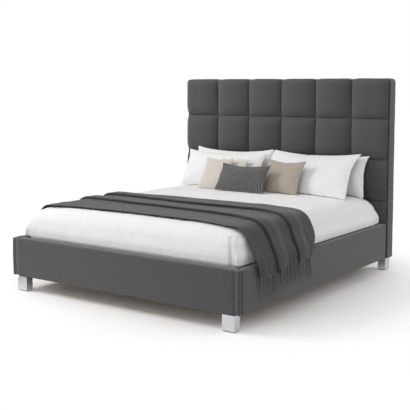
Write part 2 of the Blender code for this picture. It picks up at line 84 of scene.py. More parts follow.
class BedColors(bpy.types.PropertyGroup):
    charcoal: swatch("Charcoal", "Upholstery cloth", 0.068, 0.068, 0.0695)
    cotton: swatch("Cotton", "Sheet and pillow cases", 0.735, 0.732, 0.735)
    wool: swatch("Wool", "Folded throw", 0.035, 0.0346, 0.0336)
    beige: swatch("Beige", "Left cushion", 0.56, 0.52, 0.47)
    cream: swatch("Cream", "Middle cushion", 0.56, 0.54, 0.49)
    ivory: swatch("Ivory", "Cushion behind the middle one", 0.64, 0.63, 0.61)
    taupe: swatch("Taupe", "Right cushion", 0.36, 0.31, 0.265)
    knit: swatch("Knit", "Lumbar cushion", 0.092, 0.090, 0.085)
    pine: swatch("Pine", "Slats and frame", 0.62, 0.44, 0.25)


def sizes():
    return bpy.context.scene.bed_sizes


def colors():
    return bpy.context.scene.bed_colors


# ---------------------------------------------------------------- modelling helpers

def deselect_all():
    if bpy.context.object and bpy.context.object.mode != "OBJECT":
        bpy.ops.object.mode_set(mode="OBJECT")
    bpy.ops.object.select_all(action="DESELECT")


def activate(obj):
    deselect_all()
    obj.select_set(True)
    bpy.context.view_layer.objects.active = obj


def named_active(name):
    obj = bpy.context.object
    obj.name = name
    obj.data.name = name
    return obj


@contextmanager
def editing(obj, select="SELECT"):
    """Edit mode on one object, with its whole mesh selected unless told otherwise."""
    activate(obj)
    bpy.ops.object.mode_set(mode="EDIT")
    if select:
        bpy.ops.mesh.select_all(action=select)
    yield
    bpy.ops.object.mode_set(mode="OBJECT")


def settle(obj):
    """Moves the object's place, turn and scale into its mesh."""
    activate(obj)
    bpy.ops.object.transform_apply(location=True, rotation=True, scale=True)
    return obj


def apply_modifier(obj, kind, **settings):
    modifier = obj.modifiers.new(kind.title(), kind)
    for key, value in settings.items():
        setattr(modifier, key, value)
    activate(obj)
    bpy.ops.object.modifier_apply(modifier=modifier.name)


def subdivide_surface(obj):
    apply_modifier(obj, "SUBSURF", levels=1, render_levels=1)


def sheet_grid(name, columns, rows, place):
    """A grid whose points are put in place by place(u, v), with u and v from 0 to 1."""
    deselect_all()
    bpy.ops.mesh.primitive_grid_add(x_subdivisions=columns, y_subdivisions=rows, size=1.0)
    obj = named_active(name)
    for vert in obj.data.vertices:
        vert.co = place(vert.co.x + 0.5, vert.co.y + 0.5)
    return obj


def outward(obj):
    with editing(obj):
        bpy.ops.mesh.normals_make_consistent(inside=False)


def smooth(obj, angle=60):
    activate(obj)
    bpy.ops.object.shade_smooth_by_angle(angle=radians(angle))


def cloth_map(obj):
    """A UV map in metres, each face flat to the axis that it mostly faces."""
    mesh = obj.data
    layer = mesh.uv_layers.new(name="cloth")
    for face in mesh.polygons:
        axis = max(range(3), key=lambda i: abs(face.normal[i]))
        across, up = ((1, 2), (0, 2), (0, 1))[axis]
        for loop in face.loop_indices:
            point = mesh.vertices[mesh.loops[loop].vertex_index].co
            layer.data[loop].uv = (point[across], point[up])


def ripple(point, scale, seed=0.0):
    """Smooth noise from -1 to 1 that is the same in each run."""
    return noise.noise(Vector(point) * scale + Vector((seed, seed * 0.7, -seed)))


def finish_piece(obj, slot, replaced=(), finish=None):
    """Gives a piece the material of its slot and its body, and hides the solids that it replaces."""
    obj.data.materials.clear()
    obj.data.materials.append(finish_of(finish or slot))
    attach(obj, BODY)
    if replaced:
        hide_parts(*replaced)
    return obj


def softened_copy(node, name, voxel):
    """A CAD solid's own shape with its edges eased, as foam under cloth eases them."""
    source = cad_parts[node]
    deselect_all()
    mesh = source.data.copy()
    obj = bpy.data.objects.new(name, mesh)
    bpy.context.scene.collection.objects.link(obj)
    with editing(obj):
        bpy.ops.mesh.remove_doubles(threshold=0.00001)
    mesh.remesh_voxel_size = voxel
    mesh.use_remesh_preserve_volume = True
    bpy.ops.object.voxel_remesh()
    return obj


# ---------------------------------------------------------------- materials

def put_node(tree, kind, sockets, **settings):
    """Adds a node with its settings; each socket gets a value, or a link from another node's output."""
    made = tree.nodes.new(kind)
    for key, value in settings.items():
        setattr(made, key, value)
    join_sockets(tree, made, sockets)
    return made


def join_sockets(tree, node, sockets):
    for name, value in sockets.items():
        if isinstance(value, bpy.types.NodeSocket):
            tree.links.new(value, node.inputs[name])
        else:
            node.inputs[name].default_value = value


class Shade:
    """A material under construction: its node tree and its shader."""

    def __init__(self, name, color, roughness, metallic=0.0, sheen=0.0):
        self.mat = bpy.data.materials.new(name)
        self.mat.use_nodes = True
        self.tree = self.mat.node_tree
        self.shader = self.tree.nodes["Principled BSDF"]
        self.color = tuple(color)
        self.join({
            "Base Color": (*self.color, 1.0), "Roughness": roughness, "Metallic": metallic,
            "Sheen Weight": sheen, "Sheen Roughness": 0.5,
        })

    def join(self, sockets):
        join_sockets(self.tree, self.shader, sockets)

    def node(self, kind, sockets, **settings):
        return put_node(self.tree, kind, sockets, **settings)

    def place(self, scale=(1, 1, 1), uv=False, turn=(0, 0, 0)):
        if uv:
            source = self.node("ShaderNodeUVMap", {}, uv_map="cloth").outputs["UV"]
        else:
            source = self.node("ShaderNodeTexCoord", {}).outputs["Object"]
        sockets = {"Scale": scale, "Rotation": turn, "Vector": source}
        return self.node("ShaderNodeMapping", sockets).outputs["Vector"]

    def noise(self, vector, scale, detail=4.0, roughness=0.55):
        sockets = {"Vector": vector, "Scale": scale, "Detail": detail, "Roughness": roughness}
        return self.node("ShaderNodeTexNoise", sockets).outputs["Fac"]

    def bands(self, vector, scale, direction, distortion=0.0):
        sockets = {"Vector": vector, "Scale": scale, "Distortion": distortion, "Detail": 1.0}
        return self.node("ShaderNodeTexWave", sockets, bands_direction=direction).outputs["Fac"]

    def math(self, operation, first, second):
        return self.node("ShaderNodeMath", {0: first, 1: second}, operation=operation).outputs[0]

    def tint(self, factor, low, high):
        """Colours the cloth between low and high times its own colour, over the factor's range."""
        ramp = self.node("ShaderNodeValToRGB", {"Fac": factor})
        ramp.color_ramp.elements[0].position = 0.3
        ramp.color_ramp.elements[1].position = 0.7
        for element, share in zip(ramp.color_ramp.elements, (low, high)):
            element.color = (*[min(1.0, value * share) for value in self.color], 1.0)
        return ramp.outputs["Color"]

    def paint(self, color):
        self.join({"Base Color": color})

    def multiply(self, color, factor, low, high):
        """Darkens and lightens a colour by a factor, between two grey levels."""
        ramp = self.node("ShaderNodeValToRGB", {"Fac": factor})
        for element, level in zip(ramp.color_ramp.elements, (low, high)):
            element.color = (level, level, level, 1.0)
        sockets = {"Factor": 1.0, "A": color, "B": ramp.outputs["Color"]}
        mix = self.node("ShaderNodeMix", sockets, data_type="RGBA", blend_type="MULTIPLY")
        return mix.outputs["Result"]

    def bump(self, height, distance, strength=1.0):
        sockets = {"Height": height, "Distance": distance, "Strength": strength}
        self.join({"Normal": self.node("ShaderNodeBump", sockets).outputs["Normal"]})

    def weave(self, vector, pitch, unevenness=1.5):
        """Crossed threads at the given pitch."""
        scale = 0.314 / pitch
        warp = self.bands(vector, scale, "X", unevenness)
        weft = self.bands(vector, scale, "Y", unevenness)
        return self.math("MAXIMUM", warp, weft)


def heathered_cloth():
    shade = Shade("charcoal_heather_weave", colors().charcoal, 0.88, sheen=0.25)
    vector = shade.place(uv=True)
    threads = shade.weave(vector, 0.0024)
    flecks = shade.noise(shade.place(scale=(1, 2.2, 1), uv=True), 230, 3.0, 0.7)
    clouds = shade.noise(shade.place(), 30, 6.0, 0.75)
    color = shade.tint(flecks, 0.60, 1.45)
    color = shade.multiply(color, threads, 0.80, 1.0)
    color = shade.multiply(color, clouds, 0.78, 1.12)
    shade.paint(color)
    shade.bump(shade.math("ADD", threads, flecks), 0.0007, 0.55)
    return shade.mat


def smooth_cotton():
    shade = Shade("white_percale_cotton", colors().cotton, 0.82, sheen=0.12)
    creases = shade.noise(shade.place(scale=(1, 1, 1.4)), 9, 6.0, 0.6)
    fibres = shade.noise(shade.place(), 900, 2.0, 0.5)
    # The creases' noise also tints the cotton, darker in their hollows and lighter on their rises: painted
    # shade and painted light.
    shade.paint(shade.tint(creases, 0.975, 1.02))
    height = shade.math("ADD", shade.math("MULTIPLY", creases, 6.0), fibres)
    shade.bump(height, 0.0007, 0.5)
    return shade.mat


def brushed_wool():
    shade = Shade("grey_brushed_wool", colors().wool, 0.95, sheen=0.20)
    nap = shade.noise(shade.place(scale=(1.0, 3.0, 1.0)), 110, 5.0, 0.7)
    twill = shade.bands(shade.place(turn=(0, 0, radians(45))), 95, "DIAGONAL", 2.0)
    clouds = shade.noise(shade.place(), 11, 4.0, 0.6)
    color = shade.tint(nap, 0.70, 1.30)
    color = shade.multiply(color, twill, 0.88, 1.0)
    color = shade.multiply(color, clouds, 0.86, 1.0)
    shade.paint(color)
    shade.bump(shade.math("ADD", nap, twill), 0.0012, 0.6)
    return shade.mat


def twisted_yarn():
    # The tassels are the throw's own wool, painted three times lighter: painted light for how the lamps
    # catch them.
    painted_light_wool = [3.0 * part for part in colors().wool]
    return grained(
        "grey_twisted_yarn_painted_light", painted_light_wool, (0.95, 0.0, 0.4), (150, 4.0, 0.7), (0.55, 1.45), (0.001, 0.5),
        stretch=(1.0, 1.0, 0.4),
    )


def slub_linen(name, color, low, high):
    shade = Shade(name, color, 0.9, sheen=0.2)
    across = shade.noise(shade.place(scale=(0.25, 1, 3.0)), 160, 3.0, 0.6)
    upward = shade.noise(shade.place(scale=(3.0, 1, 0.25)), 160, 3.0, 0.6)
    slubs = shade.math("MULTIPLY", shade.math("ADD", across, upward), 0.5)
    shade.paint(shade.tint(slubs, low, high))
    shade.bump(slubs, 0.0012, 0.6)
    return shade.mat


def chunky_knit():
    shade = Shade("grey_chunky_knit", colors().knit, 0.95, sheen=0.4)
    fluff = shade.noise(shade.place(), 260, 4.0, 0.7)
    stitches = shade.bands(shade.place(), 38, "Z", 3.0)
    # The rib mark tints the knit up to 1.75 times lighter on the rib crowns and darker between them:
    # painted highlight and painted shade.
    crown = shade.node("ShaderNodeAttribute", {}, attribute_name="rib").outputs["Fac"]
    color = shade.tint(crown, 0.80, 1.75)
    color = shade.multiply(color, fluff, 0.55, 1.25)
    color = shade.multiply(color, stitches, 0.82, 1.0)
    shade.paint(color)
    shade.bump(shade.math("ADD", fluff, stitches), 0.0015, 0.7)
    return shade.mat


def grained_wood(name, color, stretch, roughness=0.55):
    shade = Shade(name, color, roughness)
    rings = shade.bands(shade.place(scale=stretch), 9, "Z", 6.0)
    fibres = shade.noise(shade.place(scale=tuple(4 * value for value in stretch)), 40, 5.0, 0.7)
    color = shade.tint(rings, 0.78, 1.12)
    color = shade.multiply(color, fibres, 0.72, 1.0)
    shade.paint(color)
    shade.bump(fibres, 0.0006, 0.4)
    return shade.mat


def grained(name, color, surface, grain, levels, relief, stretch=(1, 1, 1)):
    """A plain material with fine grain: roughness, metal and sheen; noise; its light levels; its bump."""
    shade = Shade(name, color, *surface)
    texture = shade.noise(shade.place(scale=stretch), *grain)
    shade.paint(shade.tint(texture, *levels))
    shade.bump(texture, *relief)
    return shade.mat


def quilted_ticking():
    shade = Shade("quilted_ticking", (0.80, 0.79, 0.76), 0.9)
    quilt = shade.weave(shade.place(turn=(0, 0, radians(45))), 0.05, 0.0)
    shade.paint(shade.tint(quilt, 0.93, 1.04))
    shade.bump(quilt, 0.004, 0.5)
    return shade.mat


# One maker per finish; each material is made once and shared.
MAKERS = {
    "charcoal_fabric": heathered_cloth,
    "white_cotton": smooth_cotton,
    "grey_wool": brushed_wool,
    "grey_fringe": twisted_yarn,
    "beige_linen": lambda: slub_linen("beige_slub_linen", colors().beige, 0.86, 1.10),
    "ivory_linen": lambda: slub_linen("ivory_slub_linen", colors().ivory, 0.92, 1.06),
    "cream_linen": lambda: slub_linen("cream_slub_linen", colors().cream, 0.90, 1.08),
    "taupe_linen": lambda: slub_linen("taupe_slub_linen", colors().taupe, 0.84, 1.14),
    "grey_knit": chunky_knit,
    "pine": lambda: grained_wood("planed_pine", colors().pine, (0.6, 2.0, 2.0)),
    "plywood": lambda: grained_wood("birch_plywood", (0.55, 0.40, 0.25), (1.0, 1.0, 14.0), 0.65),
    "chrome": lambda: grained(
        "polished_chrome", (0.82, 0.82, 0.84), (0.07, 1.0), (40, 3.0), (0.96, 1.02), (0.0001, 0.15),
        stretch=(1, 1, 12),
    ),
    "zinc_steel": lambda: grained(
        "zinc_plated_steel", (0.56, 0.57, 0.58), (0.36, 0.95), (120, 3.0), (0.8, 1.1), (0.0003, 0.3)
    ),
    "black_steel": lambda: grained(
        "black_powder_coat", (0.025, 0.025, 0.027), (0.5, 0.2), (700, 2.0), (0.8, 1.3), (0.0004, 0.4)
    ),
    "black_plastic": lambda: grained(
        "black_moulded_plastic", (0.022, 0.022, 0.024), (0.55,), (500, 2.0), (0.85, 1.25), (0.0003, 0.3)
    ),
    "mattress_ticking": quilted_ticking,
    "black_cloth": lambda: grained(
        "black_dust_cloth", (0.03, 0.03, 0.032), (0.95,), (300, 5.0, 0.8), (0.6, 1.6), (0.0006, 0.5)
    ),
}
MADE = {}


def finish_of(slot):
    if slot not in MADE:
        MADE[slot] = MAKERS[slot]()
    return MADE[slot]


# ---------------------------------------------------------------- upholstery

CELL_LINES = (44, 38)   # grid lines in each cell, across and up
OUTER_HOLD = 0.30       # how much of the crown an outer cell keeps at the headboard's edge
OUTLINE_INSET = 0.0025  # between the outer cells' outline and the border band's
TOP_ROW = 0.2997        # height of the top row of cells
SEAM_DEPTH = 0.032      # the seams lie this far behind the pad's front
BAND_START = 0.026      # and the border band begins this far behind it
CELL_SWELL = 0.03       # how far cells may stand forward, above the bedding
FREE_HEIGHT = 0.63      # where they begin to
CORNER_RADIUS = 0.022
PAD_HALF = 0.9547       # half the width over which the cells are spaced
BAND_CORNER = 0.03
BAND_EDGE = 0.006
BAND_CROWN = 0.0022
RAIL_CELL = 0.006       # fineness of the rails' upholstery
RAIL_BELLY = 0.0025
RAIL_RIPPLE = 0.0013
SEAM_FROM_END = 0.035   # the footboard's upright seams
GROOVE_DEPTH = 0.006


def cell_share(t):
    """Where a line of a cell lies, from -1 to 1: lines crowd towards the seams, where the cloth turns."""
    return (1 if t > 0 else -1) * (1 - max(0.0, 1 - abs(t)) ** 1.5)


def edge_fall(a, b, outer_a, outer_b):
    """Height of a stuffed cell, 1 in its middle and 0 on its seams; a and b run from -1 to 1."""
    side = 1 - (1 - OUTER_HOLD * outer_a) * abs(a) ** (5.0 if outer_a else 2.0)
    end = 1 - (1 - OUTER_HOLD * outer_b) * abs(b) ** (7.0 if outer_b else 4.5)
    return max(0.0, side) ** 0.66 * max(0.0, end) ** 0.5


def close_back(obj, axis, value):
    """Extrudes a sheet's open edge to a plane and fills it, which makes the sheet a closed body."""
    with editing(obj, "DESELECT"):
        bpy.ops.mesh.select_mode(type="EDGE")
        bpy.ops.mesh.select_non_manifold()
        bpy.ops.mesh.extrude_edges_move()
    for vert in obj.data.vertices:
        if vert.select:
            vert.co[axis] = value
    with editing(obj, None):
        bpy.ops.mesh.edge_face_add()
    outward(obj)


def closed_tube(name, along, around, place):
    """A tube with filled ends: place(u, v) runs u along it and v round it, from 0 to 1."""
    obj = sheet_grid(name, along, around, place)
    with editing(obj):
        bpy.ops.mesh.remove_doubles(threshold=0.00001)
        bpy.ops.mesh.select_all(action="DESELECT")
        bpy.ops.mesh.select_mode(type="EDGE")
        bpy.ops.mesh.select_non_manifold()
        bpy.ops.mesh.fill_holes(sides=0)
        bpy.ops.mesh.select_mode(type="VERT")
    outward(obj)
    return obj


def border_front():
    """How far back the border band begins, behind the outer cells."""
    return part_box("headboard_tufted_pad")[0][1] + BAND_START


class BED_OT_tufted_headboard(bpy.types.Operator):
    """Biscuit-tufted padding of the headboard, in stuffed cells between sewn seams"""

    bl_idname = "bed.tufted_headboard"
    bl_label = "Tufted headboard"

    def execute(self, context):
        size = sizes()
        low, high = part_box("headboard_tufted_pad")
        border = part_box("headboard_top_border")[1]
        columns = size.cell_columns
        half = border[0] - OUTLINE_INSET
        crest = border[2] - OUTLINE_INSET
        pitch_x = 2 * half / columns
        first_seam = high[2] - TOP_ROW
        seams = [first_seam - row * size.cell_height for row in range(size.cell_rows)]
        levels = [crest] + seams + [low[2]]
        seam_depth = low[1] + SEAM_DEPTH
        tuck = border_front() - 0.002

        def place(u, v):
            column = min(columns - 1, int(u * columns + 1e-6))
            a = cell_share(2 * (u * columns - column) - 1)
            x = (column + (a + 1) / 2) * pitch_x - half
            strips = len(levels) - 1
            strip = min(strips - 1, int((1 - v) * strips + 1e-6))
            b = -cell_share(2 * ((1 - v) * strips - strip) - 1)
            top, bottom = levels[strip], levels[strip + 1]
            z = bottom + (b + 1) / 2 * (top - bottom)
            outer_a = (column == 0 and a < 0) or (column == columns - 1 and a > 0)
            outer_b = strip == 0 and b > 0
            height = size.cell_crown * edge_fall(a, b, outer_a, outer_b)
            gap_a = 1.0 if outer_a else (1 - abs(a)) * pitch_x / 2
            gap_b = 1.0 if outer_b else (1 - abs(b)) * (top - bottom) / 2
            corner = exp(-((gap_a ** 2 + gap_b ** 2) / 0.05 ** 2))
            pull = ripple((x * 3.0, column + 3.1 * strip, z * 3.0), 9.0, 4.0)
            tug = exp(-min(gap_a, gap_b) / 0.035)
            height -= 0.0035 * tug * abs(pull) + 0.006 * corner
            height += 0.0025 * ripple((x, column * 2.0, z), 7.0, 2.0) * (1 - tug)
            if not outer_a:
                x += 0.004 * ripple((column * 5.0 + (a > 0), z, 0), 5.0, 1.0) * exp(-gap_a / 0.03)
            else:
                x -= copysign(0.006, x) * exp(-(gap_b / 0.045) ** 2)
            if outer_b:
                z -= 0.008 * exp(-(gap_a / 0.03) ** 2)
            rise = max(0.0, min(1.0, (z - FREE_HEIGHT) / 0.05))
            y = max(seam_depth - height, low[1] + 0.001 - CELL_SWELL * rise)
            if u in (0.0, 1.0) or v == 1.0:
                return Vector((max(low[0], min(high[0], x)), tuck, min(high[2], z)))
            corner_x = half - CORNER_RADIUS
            corner_z = crest - CORNER_RADIUS
            if abs(x) > corner_x and z > corner_z:
                away = Vector((abs(x) - corner_x, z - corner_z))
                stretch = max(away) / max(away.length, 1e-6)
                x = (corner_x + away.x * stretch) * (1 if x > 0 else -1)
                z = corner_z + away.y * stretch
            return Vector((x, y, z))

        grid = (CELL_LINES[0] * columns, CELL_LINES[1] * (len(levels) - 1))
        obj = sheet_grid("headboard_tufted_upholstery", *grid, place)
        close_back(obj, 1, high[1])
        smooth(obj, 50)
        cloth_map(obj)
        finish_piece(obj, "charcoal_fabric", ["headboard_tufted_pad"])
        return {"FINISHED"}


def bow_path(half, foot, top, radius):
    """The headboard's outline up one side, across its top and down the other: points and outward turns."""
    points = []
    straight = 60
    across = 160

    def arc(side, start):
        for step in range(13):
            turn = radians(start - 90 * step / 12)
            away = Vector((cos(turn), sin(turn)))
            points.append((Vector((side * (half - radius), top - radius)) + away * radius, away))

    for step in range(straight):
        share = step / straight
        points.append((Vector((-half, foot + share * (top - radius - foot))), Vector((-1, 0))))
    arc(-1, 180)
    for step in range(1, across):
        share = step / across
        points.append((Vector((-half + radius + share * 2 * (half - radius), top)), Vector((0, 1))))
    arc(1, 90)
    for step in range(1, straight + 1):
        share = step / straight
        points.append((Vector((half, top - radius - share * (top - radius - foot))), Vector((1, 0))))
    return points


def band_section(depth, width, radius, crown):
    """A padded band's section: points (outwards, along the depth), round its front and back edges."""
    points = []
    flat = 14
    for step in range(7):
        turn = radians(90 - 90 * step / 6)
        points.append((-radius + radius * sin(pi / 2 - turn), radius - radius * cos(pi / 2 - turn)))
    for step in range(1, flat):
        share = step / flat
        points.append((crown * sin(pi * share), radius + share * (width - 2 * radius)))
    for step in range(7):
        turn = radians(90 * step / 6)
        points.append((-radius + radius * cos(turn), width - radius + radius * sin(turn)))
    points.append((-depth, width))
    points.append((-depth, 0.0))
    points.append(points[0])
    return points


class BED_OT_headboard_border(bpy.types.Operator):
    """Padded band that wraps the headboard's edge, pulled in at the tufting's seams"""

    bl_idname = "bed.headboard_border"
    bl_label = "Headboard border"

    def execute(self, context):
        size = sizes()
        low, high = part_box("headboard_top_border")
        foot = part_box("headboard_left_border")[0][2]
        depth = high[2] - low[2] - 0.0002
        front = border_front()
        width = high[1] - front
        path = bow_path(high[0], foot, high[2], BAND_CORNER)
        section = band_section(depth, width, BAND_EDGE, BAND_CROWN)
        pitch = 2 * PAD_HALF / size.cell_columns

        def place(u, v):
            point, away = path[round(u * (len(path) - 1))]
            out, back = section[round(v * (len(section) - 1))]
            share = 1 + out / depth
            x, z = point + away * out
            if away.y > 0.5:
                nearest = round(point.x / pitch) * pitch
                if abs(nearest) < high[0] - pitch / 2:
                    z -= 0.008 * share * exp(-((point.x - nearest) / 0.03) ** 2)
            swell = 0.0016 * ripple((point.x, back * 2, point.y), 7.0, 6.0) * share
            x += away.x * swell
            z += away.y * swell
            return Vector((x, front + back, z))

        obj = closed_tube("headboard_border_upholstery", len(path) - 1, len(section) - 1, place)
        smooth(obj, 50)
        cloth_map(obj)
        nodes = ["headboard_left_border", "headboard_right_border", "headboard_top_border"]
        finish_piece(obj, "charcoal_fabric", nodes)
        return {"FINISHED"}


def outside_board(point, board, margin):
    low, high = board
    return any(point[i] < low[i] - margin or point[i] > high[i] + margin for i in range(3))


def upholster_rail(node, board_node, name, shape):
    """Foam and cloth over a rail: the outside is eased and shaped, the pocket for the timber is kept."""
    obj = softened_copy(node, name, RAIL_CELL)
    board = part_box(board_node)
    group = obj.vertex_groups.new(name="outside")
    outer = [vert.index for vert in obj.data.vertices if outside_board(vert.co, board, RAIL_CELL)]
    group.add(outer, 1.0, "REPLACE")
    apply_modifier(obj, "SMOOTH", iterations=9, factor=0.5, vertex_group="outside")
    normals = [vert.normal.copy() for vert in obj.data.vertices]
    for index in outer:
        vert = obj.data.vertices[index]
        vert.co += normals[index] * shape(vert.co, normals[index])
    obj.vertex_groups.clear()
    smooth(obj)
    cloth_map(obj)
    finish_piece(obj, "charcoal_fabric", [node])
    return obj


class BED_OT_rail_upholstery(bpy.types.Operator):
    """Foam and cloth over the footboard and both side rails"""

    bl_idname = "bed.rail_upholstery"
    bl_label = "Rail upholstery"

    def execute(self, context):
        low, high = FOOTBOARD_BOX
        middle = (low[2] + high[2]) / 2
        reach = high[2] - middle

        def swell(point, facing, seed):
            belly = RAIL_BELLY * max(0.0, 1 - ((point.z - middle) / reach) ** 2)
            return RAIL_RIPPLE * ripple(point, 5.0, seed) + belly * abs(facing)

        def footboard(point, normal):
            away = abs(point.x) - (high[0] - SEAM_FROM_END)
            return swell(point, normal.y, 1.0) - GROOVE_DEPTH * exp(-(away / 0.013) ** 2)

        def side_rail(point, normal):
            return swell(point, normal.x, 3.0)

        upholster_rail("footboard_cover", "footboard_board", "footboard_upholstery", footboard)
        for side in ("left", "right"):
            upholster_rail(
                f"{side}_rail_cover", f"{side}_rail_board", f"{side}_rail_upholstery", side_rail
            )
        return {"FINISHED"}


# ---------------------------------------------------------------- bedding

BEDDING_GRID = (196, 212)
BEDDING_THICKNESS = 0.004
EDGE = 0.14             # radius of the bedding's rounded edges
EDGE_ARC = EDGE * pi / 2
SIDE_SINK = 0.010       # how far the top lies lower at its sides
END_SINK = 0.009
HEAD_PUFF = 0.021       # and higher under the pillows
PLEAT_DEPTH = 0.014
SIDE_SPREAD = 0.036     # how far the bedding swells over the side rails
FOOT_SPREAD = 0.014     # and over the footboard


def ease(share):
    """0 to 1, level at both ends."""
    share = max(0.0, min(1.0, share))
    return share * share * (3 - 2 * share)


def bed_crown(x, y):
    """How far the bedding's top lies under its highest level."""
    low, high = BEDDING_BOX
    across = min(1.0, abs(x) / high[0])
    along = min(1.0, abs(y - (low[1] + high[1]) / 2) / ((high[1] - low[1]) / 2))
    puff = HEAD_PUFF * ease(y / 0.4) * max(0.0, 1 - (x / 0.8) ** 2) * (1 - along ** 8)
    return SIDE_SINK * across ** 4 + END_SINK * along ** 8 + SIDE_SINK * across ** 6 * along ** 6 - puff


def over_edge(travel):
    """Outward reach and drop of a cloth that has passed the start of a rounded edge by travel."""
    if travel <= 0:
        return 0.0, 0.0
    if travel < EDGE_ARC:
        turn = travel / EDGE
        return EDGE * sin(turn), EDGE * (1 - cos(turn))
    return EDGE, EDGE + travel - EDGE_ARC


# Where the throw passes the mattress's rounded edge and the rail: (x, z) points of its underside.
DROP_START = 0.757
DROP_PATH = (
    (0.757, 0.6035), (0.790, 0.5998), (0.822, 0.5885), (0.850, 0.5700), (0.8735, 0.5440), (0.890, 0.5170),
    (0.908, 0.4910), (0.930, 0.4590), (0.952, 0.4270), (0.9665, 0.4060), (0.9755, 0.3860), (0.9785, 0.3620),
    (0.9790, 0.3300), (0.9790, 0.2900),
)
# Lines of the folded throw: (distance across from the bed's middle, distance from the footboard).
FOOT_LINE = (
    (-0.7, 0.215), (0.5, 0.200), (0.752, 0.172), (0.801, 0.178), (0.840, 0.190), (0.886, 0.197),
    (0.937, 0.189), (1.0, 0.172), (1.066, 0.162), (1.136, 0.184), (1.20, 0.21),
)
FIRST_FOLD = (
    (-1.2, 0.60), (-0.85, 0.58), (-0.70, 0.564), (-0.435, 0.533), (0.0, 0.510), (0.408, 0.480),
    (0.553, 0.462), (0.647, 0.450), (0.761, 0.415), (0.824, 0.406), (0.90, 0.413), (0.963, 0.405),
    (1.03, 0.385), (1.10, 0.375), (1.16, 0.395), (1.2, 0.405),
)
SECOND_FOLD = (
    (-1.2, 0.85), (-0.85, 0.84), (-0.654, 0.825), (-0.2, 0.775), (0.183, 0.750), (0.384, 0.758),
    (0.578, 0.770), (0.676, 0.758), (0.804, 0.712), (0.864, 0.707), (0.924, 0.700), (0.976, 0.679),
    (1.044, 0.654), (1.101, 0.645), (1.2, 0.640),
)
HEAD_LINE = (
    (-1.2, 0.92), (-0.9, 0.96), (-0.788, 0.985), (-0.445, 1.043), (0.025, 1.045), (0.262, 1.050),
    (0.486, 1.065), (0.65, 1.055), (0.73, 1.035), (0.815, 1.010), (0.87, 1.005), (0.923, 0.998),
    (0.99, 0.970), (1.05, 0.915), (1.09, 0.850), (1.2, 0.830),
)


def read_line(line, at):
    """A value on a smooth curve through a line's points."""
    if at <= line[0][0]:
        return line[0][1]
    for number in range(len(line) - 1):
        left, low = line[number]
        right, high = line[number + 1]
        if at <= right:
            before = line[max(0, number - 1)]
            after = line[min(len(line) - 1, number + 2)]
            span = right - left
            rise_low = (high - before[1]) / (right - before[0]) * span
            rise_high = (after[1] - low) / (after[0] - left) * span
            t = (at - left) / span
            return (
                (2 * t ** 3 - 3 * t ** 2 + 1) * low + (t ** 3 - 2 * t ** 2 + t) * rise_low
                + (3 * t ** 2 - 2 * t ** 3) * high + (t ** 3 - t ** 2) * rise_high
            )
    return line[-1][1]


def smooth_path(points, steps):
    """Points on a smooth curve through the given ones, each with its distance along."""
    spaced = [points[0], *points, points[-1]]
    curve = []
    for number in range(len(points) - 1):
        before, start, end, after = [Vector(point) for point in spaced[number:number + 4]]
        for step in range(steps):
            t = step / steps
            curve.append(
                0.5 * (
                    2 * start + (end - before) * t + (2 * before - 5 * start + 4 * end - after) * t * t
                    + (3 * start - before - 3 * end + after) * t ** 3
                )
            )
    curve.append(Vector(points[-1]))
    length = 0.0
    measured = [(0.0, curve[0])]
    for start, end in zip(curve, curve[1:]):
        length += (end - start).length
        measured.append((length, end))
    return measured


DROP = smooth_path(DROP_PATH, 6)


def drop_point(travel):
    """The point and the outward turn of the hanging part, travel metres past the bed's flat top."""
    if travel >= DROP[-1][0]:
        return DROP[-1][1] + Vector((0, -1)) * (travel - DROP[-1][0]), Vector((1, 0))
    number = next(i for i in range(1, len(DROP)) if travel <= DROP[i][0])
    start_at, start = DROP[number - 1]
    end_at, end = DROP[number]
    along = (end - start).normalized()
    return start.lerp(end, (travel - start_at) / (end_at - start_at)), Vector((-along.y, along.x))


